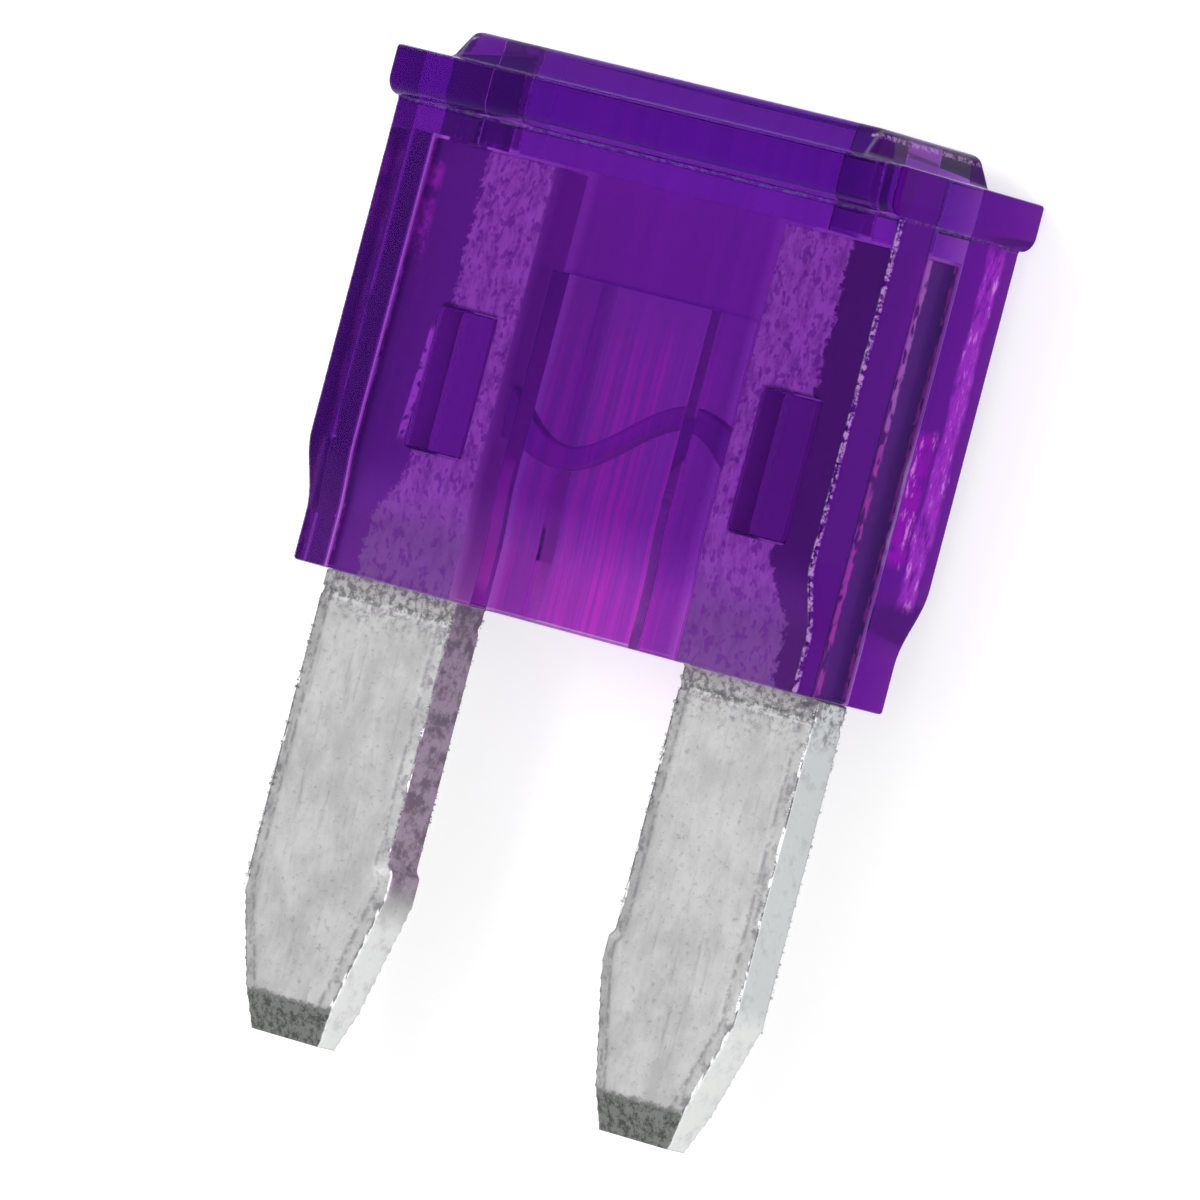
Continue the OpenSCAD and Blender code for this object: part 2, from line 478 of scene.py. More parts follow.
# Violet moulded plastic, cloudier on the ends. Depth is counted from the middle plane towards either face.

plasticSpec = {
    "clearTint": (0.88, 0.97, 0.86, 1),
    "streakTint": (0.80, 0.90, 0.80, 1),
    "crownTint": (0.80, 0.90, 0.76, 1),
    "cloudTint": (0.15, 0.004, 0.36, 1),
    "crownEnd": (0.13, 0.008, 0.30, 1),
    "slotTint": (0.52, 0.22, 0.60, 1),
    "slotTopTint": (0.60, 0.25, 0.69, 1),
    "chamberTint": (0.42, 0.12, 0.60, 1),
    # painted light on the chamber's rear wall by the mouth
    "chamberRearLight": (0.85, 0.45, 0.92, 1),
    "chamberSide": (0.62, 0.30, 0.78, 1),
    "chamberFoot": (0.55, 0.10, 0.67, 1),
    "chamberGlow": (0.95, 0.09, 0.78, 1),
    "probeTint": (0.36, 0.08, 0.48, 1),
    "probeSide": (0.84, 0.66, 0.92, 1),
    "stakeTint": (0.76, 0.45, 0.80, 1),
    # painted shade: the right stakes darker
    "stakeShadeRight": (0.54, 0.31, 0.58, 1),
    # painted highlight along the edges
    "edgeHighlight": (0.72, 0.36, 0.90, 1),
    # painted light on the ends: a bright band, a bright patch and glint specks
    "endLightBand": (0.47, 0.03, 0.76, 1),
    "endLightPatch": (0.38, 0.004, 0.60, 1),
    "endGlintSpeck": (0.90, 0.30, 1.0, 1),
    "clearTransmission": 1.0,
    "cloudTransmission": 0.36,
    "markTransmission": 0.3,
    "probeTransmission": 0.9,
    "rearTransmission": 0.2,
    "edgeTransmission": 0.2,
    "roughness": 0.05,
    "ior": 1.225,
    "specularTint": (0.6, 0.15, 1.0, 1),
    "specular": 0.25,
    "absorb": (0.61, 0.0, 0.815, 1),
    "absorbDensity": 1260.0,
    # places that follow the mould
    **bodyPlaces(housingSpec),
    "crownY": housingSpec["crownY"],
    "cavityHalfW": cavitySpec["slotHalfW"] + 0.05,
    "cavityHalfT": cavitySpec["chamberHalfT"] + 0.1,
    "cavityY": (housingSpec["mouthY"] + 0.06, housingSpec["crownY"] - 0.06),
    "chamberHalfW": cavitySpec["chamberHalfW"] + 0.02,
    "chamberTopY": cavitySpec["chamberTopY"] + 0.03,
    "probeX": [cavitySpec["probeX"] + side * cavitySpec["probeHalfW"] for side in (-1, 1)],
    "probeHalfT": cavitySpec["slotHalfT"],
    "probeY": cavitySpec["slotTopY"] + 0.03,
    # places of the tints
    "clearZ": (-0.21, 0.70),  # heights between which the element shows through each end
    "clearSoft": 0.05,
    "crownTintUp": (0.7, 0.85),  # above the seam
    "crownEndX": (4.28, 4.4),
    "crownEndY": (7.6, 7.75),
    "gapHalfW": (2.2, 2.45),
    "middleX": (-1.0, 1.0),
    "slotEndX": (4.85, 5.0),
    "slotTopFade": (-0.1, 0.1),
    "stakeDepth": (0.36, 0.30),
    "footY": (2.2, -0.9),
    "rearDepth": (0.5, 0.55),
    "rearY": (housingSpec["mouthY"] + 0.3, housingSpec["stepY"][1] + 0.3),
    "rearSoft": 0.2,
    "glowShare": (0.5, 0.78),
    "glowFade": (0.0, -1.4),  # from the chamber's top down
    "sideFacing": (0.6, 0.8),
    "probeFacing": (0.5, 0.8),
    "wallFade": (0.02, 0.0),
    "probeFade": (0.0, 0.05),
    "cavitySoft": 0.01,
    # painted light on the two ends, a band and a patch: heights, lengths and how softly both of them end
    "streakZ": (-1.15, -0.74),
    "streakY": (1.0, 6.75),
    "streakSoft": (0.06, 0.15),
    "patchZ": (-0.62, -0.17),
    "patchY": (1.6, 3.7),
    "patchSoft": (0.08, 0.12),
    "sway": 0.3,
    "markFade": (-0.04, -0.02),
    "cloudFade": (-0.06, -0.02),
    # painted highlights: broken pale lines along the moulded edges
    "cornerFade": (-0.08, -0.05),
    "seamFade": (0.02, -0.05),
    "seamLine": (-0.04, 0.02),
    "seamShare": 0.15,
    "rimLine": (-0.035, 0.035),
    "rimDepth": (-0.035, 0.05),
    "rimSoft": 0.015,
    "rimFade": (0.0, 0.1),
    "crownLine": (-0.16, -0.09),
    "crownRimX": (4.20, 4.25),
    "lineSoft": 0.02,
    # grains: scale, detail, roughness and stretch, and the levels between which each one fades in
    "dotGrain": (12.0, 2, 0.7),
    "dotLevels": (0.42, 0.62),
    "swayGrain": (3.0, 2, 0.65, (1, 0.4, 1)),
    "markGrain": (6.0, 3, 0.7, (1, 0.3, 1)),
    "streakLevels": (0.30, 0.55),
    "patchLevels": (0.26, 0.46),
    "speckLevels": (0.56, 0.68),
    "glowGrain": (0.9, 3, 0.65, (5.5, 0.13, 0.4)),
    "glowLevels": (0.47, 0.58),
    "flowGrain": (1.0, 2, 0.6, (2.2, 0.1, 1)),
    "flowLevels": (0.45, 0.62),
}


def plasticEdgeHighlights(s, spec, wide, y, depth):
    dots = s.grain(spec, "dot")
    half = s.blend(s.fade(y, *spec["stepY"]), spec["skirtHalfT"], spec["bodyHalfT"])
    corner = s.times(s.fadeAt(wide, spec["bodyHalfW"], spec["cornerFade"]),
                     s.fade(s.math("SUBTRACT", depth, half), *spec["cornerFade"]),
                     s.fadeAt(y, spec["seamY"], spec["seamFade"]))
    seam = s.times(s.bandAt(y, spec["seamY"], spec["seamLine"], spec["lineSoft"]), spec["seamShare"])
    sides = [s.bandAt(wide, edge, spec["rimLine"], spec["rimSoft"]) for edge in spec["probeX"]]
    rim = s.times(s.bandAt(depth, spec["probeHalfT"], spec["rimDepth"], spec["rimSoft"]), s.most(*sides),
                  s.fadeAt(y, spec["probeY"], spec["rimFade"]))
    crown = s.times(s.bandAt(y, spec["crownY"], spec["crownLine"], spec["lineSoft"]),
                    s.fade(wide, *spec["crownRimX"]))
    return s.times(s.most(corner, seam, rim, crown), dots)


def endPaintedLight(s, spec, wide, y, z):
    end = s.fadeAt(wide, spec["bodyHalfW"], spec["markFade"])
    side = s.math("ADD", z, s.swing(s.noise(*spec["swayGrain"]), spec["sway"]))
    grain = s.noise(*spec["markGrain"])
    streak, patch = (
        s.times(end, s.band(side, *spec[mark + "Z"], spec[mark + "Soft"][0]),
                s.band(y, *spec[mark + "Y"], spec[mark + "Soft"][1]), s.fade(grain, *spec[mark + "Levels"]))
        for mark in ("streak", "patch"))
    patch = s.times(patch, s.math("SUBTRACT", 1.0, streak))
    return streak, patch, s.times(s.most(streak, patch), s.fade(grain, *spec["speckLevels"]))


def chamberWalls(s, spec, y, side):
    foot = s.fade(y, *spec["footY"])
    chamber = s.mix(foot, spec["chamberTint"], spec["chamberFoot"])
    share = s.times(s.blend(foot, *spec["glowShare"]), s.fadeAt(y, spec["chamberTopY"], spec["glowFade"]))
    glow = s.grain(spec, "glow")
    chamber = s.mix(s.times(glow, share), chamber, spec["chamberGlow"])
    return s.mix(side, chamber, spec["chamberSide"])


# The cavity's walls: slot, chamber, stakes and test slots each tint the light that passes them
def cavityWalls(s, spec, x, wide, y, depth, sideways):
    cavity = s.times(s.fadeAt(wide, spec["cavityHalfW"], spec["wallFade"]),
                     s.fadeAt(depth, spec["cavityHalfT"], spec["wallFade"]),
                     s.band(y, *spec["cavityY"], spec["cavitySoft"]))
    side = s.fade(sideways, *spec["sideFacing"])
    inChamber = s.times(s.fadeAt(wide, spec["chamberHalfW"], spec["wallFade"]),
                        s.fadeAt(y, spec["chamberTopY"], spec["wallFade"]))
    top = s.fadeAt(y, spec["chamberTopY"], spec["slotTopFade"])
    slot = s.mix(top, spec["slotTint"], spec["slotTopTint"])
    walls = s.mix(inChamber, slot, chamberWalls(s, spec, y, side))
    # a pale, less clear patch on the chamber's rear wall by the mouth, as painted light
    rear = s.times(cavity, inChamber, side, s.fade(depth, *spec["rearDepth"]),
                   s.band(y, *spec["rearY"], spec["rearSoft"]))
    walls = s.mix(rear, walls, spec["chamberRearLight"])
    # the right stakes get painted shade
    stakes = s.mix(s.fade(x, *spec["middleX"]), spec["stakeTint"], spec["stakeShadeRight"])
    beside = s.mix(s.fade(depth, *spec["stakeDepth"]), (1, 1, 1, 1), stakes)
    beside = s.mix(s.fade(wide, *spec["slotEndX"]), beside, spec["slotTint"])
    walls = s.mix(s.fade(wide, *spec["gapHalfW"]), walls, beside)
    probe = s.times(cavity, s.fadeAt(y, spec["probeY"], spec["probeFade"]))
    probeWalls = s.mix(s.fade(sideways, *spec["probeFacing"]), spec["probeTint"], spec["probeSide"])
    return cavity, s.mix(probe, walls, probeWalls), probe, rear


def plasticMaterial(spec):
    material, s = newMaterial("violetPlastic")
    shader = s.node("ShaderNodeBsdfPrincipled")
    out = s.node("ShaderNodeOutputMaterial")
    s.wire(shader.outputs[0], out.inputs["Surface"])
    x, y, z, depth = s.axes()
    wide = s.math("ABSOLUTE", x)
    end = s.times(s.fadeAt(wide, spec["bodyHalfW"], spec["cloudFade"]),
                  s.math("SUBTRACT", 1.0, s.band(z, *spec["clearZ"], spec["clearSoft"])))
    flow = s.grain(spec, "flow")
    clear = s.mix(flow, spec["clearTint"], spec["streakTint"])
    clear = s.mix(s.fadeAt(y, spec["seamY"], spec["crownTintUp"]), clear, spec["crownTint"])
    colour = s.mix(s.fade(end, 0.0, 0.5), clear, spec["cloudTint"])
    transmission = s.blend(s.fade(end, 0.5, 1.0), spec["clearTransmission"], spec["cloudTransmission"])
    crownEnd = s.times(s.fade(wide, *spec["crownEndX"]), s.fade(y, *spec["crownEndY"]))
    colour = s.mix(crownEnd, colour, spec["crownEnd"])
    transmission = s.blend(crownEnd, transmission, spec["cloudTransmission"])
    # the ends carry a painted light band, a painted light patch and painted glint specks
    streak, patch, speck = endPaintedLight(s, spec, wide, y, z)
    colour = s.mix(patch, s.mix(streak, colour, spec["endLightBand"]), spec["endLightPatch"])
    colour = s.mix(speck, colour, spec["endGlintSpeck"])
    transmission = s.blend(s.most(streak, patch), transmission, spec["markTransmission"])
    cavity, walls, probe, rear = cavityWalls(s, spec, x, wide, y, depth, s.facing()[1])
    colour = s.mix(cavity, colour, walls)
    transmission = s.blend(cavity, transmission, 1.0)
    transmission = s.blend(probe, transmission, spec["probeTransmission"])
    transmission = s.blend(rear, transmission, spec["rearTransmission"])
    # painted highlights along the edges
    edge = plasticEdgeHighlights(s, spec, wide, y, depth)
    s.feed(shader.inputs["Base Color"], s.mix(edge, colour, spec["edgeHighlight"]))
    shader.inputs["Roughness"].default_value = spec["roughness"]
    shader.inputs["IOR"].default_value = spec["ior"]
    shader.inputs["Specular Tint"].default_value = spec["specularTint"]
    shader.inputs["Specular IOR Level"].default_value = spec["specular"]
    s.feed(shader.inputs["Transmission Weight"], s.blend(edge, transmission, spec["edgeTransmission"]))
    volume = s.node("ShaderNodeVolumeAbsorption")
    volume.inputs["Color"].default_value = spec["absorb"]
    volume.inputs["Density"].default_value = spec["absorbDensity"]
    s.wire(volume.outputs[0], out.inputs["Volume"])
    return material


plastic = plasticMaterial(plasticSpec)
print("plastic made")
housing = makeHousing()
print("housing made:", len(housing.data.polygons), "faces")


# Element: two blades and the link between them, one stamping

bladeSpec = {
    "outerX": elementBox[1].x / mm,
    "innerX": 2.45,
    "halfT": (elementBox[1].z - elementBox[0].z) / 2 / mm,
    "tipY": elementBox[0].y / mm,
    "mouthY": housingSpec["mouthY"],
    "topY": elementBox[1].y / mm,
    "shoulderIn": 0.18,
    "outerTaperL": 2.15,
    "innerTaperL": 2.6,
    "outerTaperIn": 0.78,
    "innerTaperIn": 0.72,
    "stubH": 0.14,
    "stubL": 0.4,
    "bevelL": 0.65,
    "bevelIn": 0.15,
    "coinY": -1.07,
    "coinW": 0.1,
    "coinDepth": 0.04,
    "windowX": cavitySpec["stakeX"],
    "windowY": cavitySpec["stakeY"],
    "windowHalfW": cavitySpec["stakeHalfW"] + 0.03,  # the stakes stand free in the windows by this much
    "windowHalfL": cavitySpec["stakeHalfL"] + 0.03,
    "voxel": 0.05,
    "rimW": 0.34,  # width of the rolled and darkened border
    "rimDrop": 0.05,
    "waviness": 0.008,
    "waveScale": (1.7, 0.9, 2.0),
}


def bladeOutline(spec):
    tip, outer, inner, stub = spec["tipY"], spec["outerX"], spec["innerX"], spec["stubH"]
    taper = tip + spec["innerTaperL"]
    upper = outer - spec["shoulderIn"]
    return [
        (inner - stub + spec["innerTaperIn"], tip),
        (outer - spec["outerTaperIn"], tip),
        (outer, tip + spec["outerTaperL"]),
        (outer, spec["mouthY"]),
        (upper, spec["mouthY"]),
        (upper, spec["topY"]),
        (inner, spec["topY"]),
        (inner, taper + spec["stubL"] + stub),
        (inner - stub, taper + spec["stubL"]),
        (inner - stub, taper),
    ]


def extruded(name, outline, low, high):
    return skin(name, [[(x, y, level) for x, y in outline] for level in (low, high)])


def faceCutter(spec, sideZ):
    over, half, tip, coin = 1.0, spec["halfT"], spec["tipY"], spec["coinY"]
    reach = spec["outerX"] + over
    bevelTop = tip + spec["bevelL"]
    bevelFoot = half - spec["bevelIn"] - over * spec["bevelIn"] / spec["bevelL"]
    bevel = [(tip - over, half + over), (tip - over, bevelFoot), (bevelTop, half), (bevelTop, half + over)]
    halfCoin = spec["coinW"] / 2
    groove = [(coin - halfCoin, half + over), (coin - halfCoin, half - spec["coinDepth"]),
              (coin + halfCoin, half - spec["coinDepth"]), (coin + halfCoin, half + over)]
    for profile in (bevel, groove):
        yield skin("faceCutter", [[(x, y, sideZ * z) for y, z in profile] for x in (-reach, reach)])


def rollEdges(piece, spec, outline):
    segments = [(Vector(a), Vector(b)) for a, b in zip(outline, outline[1:] + outline[:1])]
    rim = piece.data.attributes.new("rim", "FLOAT", "POINT")
    values = []
    for vertex in piece.data.vertices:
        x, y, z = (c / mm for c in vertex.co)
        z -= midZ
        spot = Vector((abs(x), y))
        nearest = spec["rimW"]
        if y < spec["mouthY"] and abs(x) > spec["innerX"] - spec["stubH"] - 0.1:
            for a, b in segments:
                along = b - a
                share = min(1.0, max(0.0, (spot - a).dot(along) / along.length_squared))
                nearest = min(nearest, (spot - a - along * share).length)
        border = 1 - nearest / spec["rimW"]
        values.append(border)
        border = border * border * (3 - 2 * border)
        wave = Vector([c * scale for c, scale in zip((x, y, z), spec["waveScale"])])
        drift = noise.noise(wave) * spec["waviness"]
        drop = spec["rimDrop"] * border * abs(z) / spec["halfT"] if y < spec["mouthY"] - 0.02 else 0.0
        height = z - math.copysign(drop, z) + (drift if y < spec["mouthY"] - 0.1 else 0.0)
        vertex.co.z = (midZ + max(-spec["halfT"], min(spec["halfT"], height))) * mm
    rim.data.foreach_set("value", values)


# Fuse link: a bent strip whose width grows towards the blades

linkSpec = {
    "Reach": 2.47,
    "Bend": 0.55,
    "Width": 0.36,
    "Flare": 0.5,
    "Thickness": 0.25,
    "Middle Y": 2.47,
    "Middle Z": midZ,
}


def newGeometryTree(name, sizes, material):
    group = bpy.data.node_groups.new(name, "GeometryNodeTree")
    g = Tree(group)
    group.interface.new_socket(name="Geometry", in_out="INPUT", socket_type="NodeSocketGeometry")
    for key in sizes:
        group.interface.new_socket(name=key, in_out="INPUT", socket_type="NodeSocketFloat")
    group.interface.new_socket(name="Geometry", in_out="OUTPUT", socket_type="NodeSocketGeometry")
    inputs = g.node("NodeGroupInput").outputs

    def finish(geometry):
        real = g.step("GeometryNodeRealizeInstances", geometry)
        painted = g.step("GeometryNodeSetMaterial", real, Material=material)
        g.wire(painted, g.node("NodeGroupOutput").inputs[0])

    return group, g, inputs, finish


def grow(piece, group, sizes):
    modifier = piece.modifiers.new("grow", "NODES")
    modifier.node_group = group
    for item in group.interface.items_tree:
        if item.item_type == "SOCKET" and item.in_out == "INPUT" and item.name in sizes:
            modifier[item.identifier] = float(sizes[item.name])
    applyModifiers(piece)


def linkTree(sizes, material):
    group, g, inputs, finish = newGeometryTree("fuseLink", sizes, material)
    grid = g.node("GeometryNodeMeshGrid")
    g.feed(grid.inputs["Size X"], g.math("MULTIPLY", inputs["Reach"], 2.0))
    grid.inputs["Size Y"].default_value = 1.0
    grid.inputs["Vertices X"].default_value = 65
    grid.inputs["Vertices Y"].default_value = 5
    where = g.node("ShaderNodeSeparateXYZ")
    g.wire(g.node("GeometryNodeInputPosition").outputs[0], where.inputs[0])
    share = g.math("DIVIDE", where.outputs["X"], inputs["Reach"])
    wave = g.math("SINE", g.math("MULTIPLY", share, math.pi))
    flare = g.math("POWER", g.math("ABSOLUTE", share), 4.0)
    width = g.math("ADD", inputs["Width"], g.math("MULTIPLY", inputs["Flare"], flare))
    height = g.math("ADD", inputs["Middle Y"], g.math("MULTIPLY", inputs["Bend"], wave))
    height = g.math("ADD", height, g.math("MULTIPLY", where.outputs["Y"], width))
    bottom = g.math("SUBTRACT", inputs["Middle Z"], g.math("MULTIPLY", inputs["Thickness"], 0.5))
    spot = g.node("ShaderNodeCombineXYZ")
    for key, value in (("X", where.outputs["X"]), ("Y", height), ("Z", bottom)):
        g.wire(value, spot.inputs[key])
    strip = g.step("GeometryNodeSetPosition", grid.outputs["Mesh"], Position=spot.outputs[0])
    lift = g.node("ShaderNodeCombineXYZ")
    g.wire(inputs["Thickness"], lift.inputs["Z"])
    thick = g.step("GeometryNodeExtrudeMesh", strip, Individual=False, Offset=lift.outputs[0])
    both = g.node("GeometryNodeJoinGeometry")
    g.wire(thick, both.inputs[0])
    g.wire(g.step("GeometryNodeFlipFaces", strip), both.inputs[0])
    closed = g.step("GeometryNodeMergeByDistance", both.outputs[0], Distance=1e-4)
    finish(g.step("GeometryNodeTransform", closed, Scale=(mm, mm, mm)))
    return group


def makeLink():
    piece = meshObject("fuseLink", [(0, 0, 0)], [])
    grow(piece, linkTree(linkSpec, zinc), linkSpec)
    fixNormals(piece)
    return piece


def makeElement():
    outline = bladeOutline(bladeSpec)
    half = bladeSpec["halfT"]
    work = bmesh.new()
    for side in (-1, 1):
        blade = extruded("blade", [(side * x, y) for x, y in outline], -half, half)
        windowX = side * bladeSpec["windowX"]
        window = [(windowX + x, bladeSpec["windowY"] + y)
                  for x, y in roundSection(bladeSpec["windowHalfW"], bladeSpec["windowHalfL"], 0.05)]
        carve(blade, extruded("window", window, -half - 0.2, half + 0.2))
        for sideZ in (-1, 1):
            for cutter in faceCutter(bladeSpec, sideZ):
                carve(blade, cutter)
        work.from_mesh(blade.data)
        bpy.data.objects.remove(blade)
    piece = makeLink()
    piece.name = "fuseElement"
    bladeMesh = bpy.data.meshes.new("blades")
    work.to_mesh(bladeMesh)
    work.free()
    blades = bpy.data.objects.new("blades", bladeMesh)
    scene.collection.objects.link(blades)
    carve(piece, blades, "UNION")
    fixNormals(piece)
    remesh = piece.modifiers.new("remesh", "REMESH")
    remesh.mode = "VOXEL"
    remesh.voxel_size = bladeSpec["voxel"] * mm
    smooth = piece.modifiers.new("smooth", "SMOOTH")
    smooth.factor = 0.5
    smooth.iterations = 2
    applyModifiers(piece)
    rollEdges(piece, bladeSpec, outline)
    piece.data.materials.clear()
    piece.data.materials.append(zinc)
    piece.data.shade_smooth()
    return piece


# Tinned zinc: mottled grey in the open, bright strips and painted shade bands under the plastic

zincSpec = {
    "bright": (0.485, 0.485, 0.485, 1),
    "mid": (0.375, 0.375, 0.375, 1),
    "dark": (0.13, 0.135, 0.13, 1),
    # painted dark reflection along the rolled border, also the dirt below the mouth
    "darkReflectionAndDirt": (0.145, 0.13, 0.155, 1),
    "glint": (1.0, 1.0, 1.0, 1),
    "tipColour": (0.21, 0.215, 0.21, 1),
    "tipDark": (0.08, 0.085, 0.08, 1),
    # painted light and shade on the cut sides, set by facing
    "taperSideLight": (0.72, 0.73, 0.72, 1),
    "innerSideShading": (0.32, 0.24, 0.33, 1),
    "innerSideDarkShade": (0.13, 0.08, 0.14, 1),
    "outerSideShading": (0.60, 0.63, 0.635, 1),
    # near-white painted glint on the burrs
    "burrGlintColour": (0.95, 0.93, 0.95, 1),
    "metallic": (0.8, 0.15),  # in the open, and under the plastic
    "roughness": (0.34, 0.54),
    "facing": (0.5, 0.8),
    "bumpMix": (0.6, 0.4),
    "bump": (0.35, 0.02),
    # places that follow the blades
    "mouthY": bladeSpec["mouthY"],
    "tipY": bladeSpec["tipY"],
    "tipTopY": bladeSpec["tipY"] + bladeSpec["bevelL"],
    "coinY": bladeSpec["coinY"],
    # offsets from those places
    "coinLine": (-bladeSpec["coinW"] / 2, bladeSpec["coinW"] / 2),
    "coinSoft": 0.02,
    "tipFade": (0.02, -0.06),
    "tipSway": 0.35,
    "innerFade": (2.4, 3.0),
    "taperFade": (2.6, 2.0),
    "smudgeFade": (-1.0, -0.1),
    "smudgeSway": 1.2,
    # how much of each mark shows
    "streakShare": 0.35,
    "speckShare": 0.45,
    "outerMottle": 0.5,
    "outerShare": 0.8,
    "innerShare": 0.9,
    "taperShare": (0.55, 1.0),
    "lineShare": 0.6,
    "smudgedShare": 0.7,
    "smudgeShare": 0.85,
    "coinShare": 0.8,
    # the border runs from 0 inside to 1 at the outline
    "borderLine": (0.22, 0.42),
    "borderSoft": 0.12,
    "outlineFrom": (0.78, 0.97),
    "smudgedFrom": (0.2, 0.7),
    "glintFrom": (0.80, 0.9),
    # grains and levels, as for the plastic
    "cloudGrain": (1.6, 3, 0.6, (1.2, 0.8, 1)),
    "cloudLevels": (0.3, 0.7),
    "streakGrain": (4.0, 3, 0.6, (2.2, 0.25, 1)),
    "streakLevels": (0.55, 0.8),
    "speckGrain": (9.0, 3, 0.75),
    "speckLevels": (0.55, 0.75),
    "fineLevels": (0.42, 0.6),
    "outlineLevels": (0.35, 0.6),
    "tipLevels": (0.42, 0.62),
    "blotGrain": (3.2, 3, 0.7),
    "outerLevels": (0.5, 0.7),
    "innerLevels": (0.42, 0.62),
    "taperLevels": (0.66, 0.46),
    "smudgedLevels": (0.48, 0.66),
    "lineGrain": (6.0, 2, 0.7),
    "lineLevels": (0.36, 0.58),
    "glintGrain": (5.0, 2, 0.7, (1, 0.4, 1)),
    "glintLevels": (0.56, 0.62),
}

coveredSpec = {
    "stripColour": (0.90, 1.0, 0.84, 1),
    "stripShade": (0.50, 0.46, 0.52, 1),
    "stripFoot": (0.34, 0.31, 0.43, 1),
    "shadeColour": (0.28, 0.11, 0.40, 1),
    "shadeRight": (0.15, 0.05, 0.23, 1),
    "glowColour": (0.95, 0.25, 0.80, 1),
    "linkColour": (0.48, 0.20, 0.64, 1),
    # sideways faces under the plastic: painted shade on the outer ones, painted light on the inner ones
    "outerSideShading": (0.14, 0.0, 0.34, 1),
    "innerSideShading": (1.0, 0.75, 1.0, 1),
    # painted highlight along the blade's cut outer edge
    "cutEdgeHighlight": (0.88, 0.50, 1.0, 1),
    "litColour": (1.0, 0.80, 1.0, 1),
    "burrGlintColour": zincSpec["burrGlintColour"],
    "mouthY": bladeSpec["mouthY"],
    "mouthFade": (-0.04, 0.04),
    "outerX": bladeSpec["outerX"],
    "outerFade": (-0.3, -0.2),
    "linkX": bladeSpec["innerX"],
    "linkFade": (0.0, -0.07),
    "middleX": (-1.0, 1.0),
    "stripX": (4.45, 3.88),  # the bright strip's outer edge, at the foot and above it
    "stripY": (0.2, 1.4),
    "stripFade": (0.03, -0.03),
    "footY": (1.5, 0.1),
    "footShare": 0.75,
    "sway": 0.6,
    "glowX": (4.66, 4.83),
    "glowY": (4.2, 5.4),
    "glowSway": 6.0,
    "cutX": (5.03, 5.07),
    "cutSway": 0.15,
    "cutShare": (0.25, 1.0),
    "litLean": -0.06,
    "litMiddleY": 2.6,  # height about which the lit marks lean
    "litSoft": (0.02, 0.1),
    "leftLit": (-4.22, -4.07),
    "leftLitY": (1.6, 3.4),
    "rightLit": (2.74, 2.84),
    "rightLitY": (1.95, 2.5),
    "rightLitShare": 0.6,
    "cornerGlintDepth": (0.25, 0.31),  # from here out, a cut side has painted highlight dots along its corners
    "cornerGlintSway": 0.25,
    "whiteZ": (-0.1, 0.1),
    "whiteY": (3.2, 3.9),
    "sideFacing": (0.6, 0.8),
    "raggedGrain": (5.0, 4, 0.75),
    "mottleGrain": (5.0, 3, 0.75, (1, 0.45, 1)),
    "mottleLevels": (0.3, 0.62),
    "blotGrain": (8.0, 1, 0.7, (1, 0.7, 1)),
    "blotLevels": (0.55, 0.64),
    "blotShare": 0.6,
    "glowGrain": (2.5, 2, 0.6),
    "glowLevels": (0.35, 0.6),
    "dotGrain": (7.0, 1, 0.7, (1, 0.5, 1)),
    "dotLevels": (0.38, 0.52),
    "brokenGrain": (1.1, 1, 0.6, (1, 1, 0.2)),
    "brokenLevels": (0.40, 0.52),
    "litGrain": (6.0, 1, 0.7),
    "litLevels": (0.30, 0.48),
}


def coveredStrips(s, spec, x, wide, y, ragged):
    reach = s.math("ADD", s.blend(s.fade(y, *spec["stripY"]), *spec["stripX"]), ragged)
    strip = s.fade(s.math("SUBTRACT", wide, reach), *spec["stripFade"])
    bright = s.mix(s.grain(spec, "mottle"), spec["stripShade"], spec["stripColour"])
    bright = s.mix(s.times(s.fade(y, *spec["footY"]), spec["footShare"]), bright, spec["stripFoot"])
    bright = s.mix(s.times(s.grain(spec, "blot"), spec["blotShare"]), bright, spec["shadeColour"])
    shade = s.mix(s.fade(x, *spec["middleX"]), spec["shadeColour"], spec["shadeRight"])
    return s.mix(strip, shade, bright)


def litMarks(s, spec, x, y):
    lean = s.times(s.math("SUBTRACT", y, spec["litMiddleY"]), spec["litLean"])
    turned = s.math("ADD", x, lean)
    across, along = spec["litSoft"]
    left, right = (s.times(s.band(turned, *spec[mark], across), s.band(y, *spec[mark + "Y"], along))
                   for mark in ("leftLit", "rightLit"))
    return s.times(s.most(left, s.times(right, spec["rightLitShare"])), s.grain(spec, "lit"))


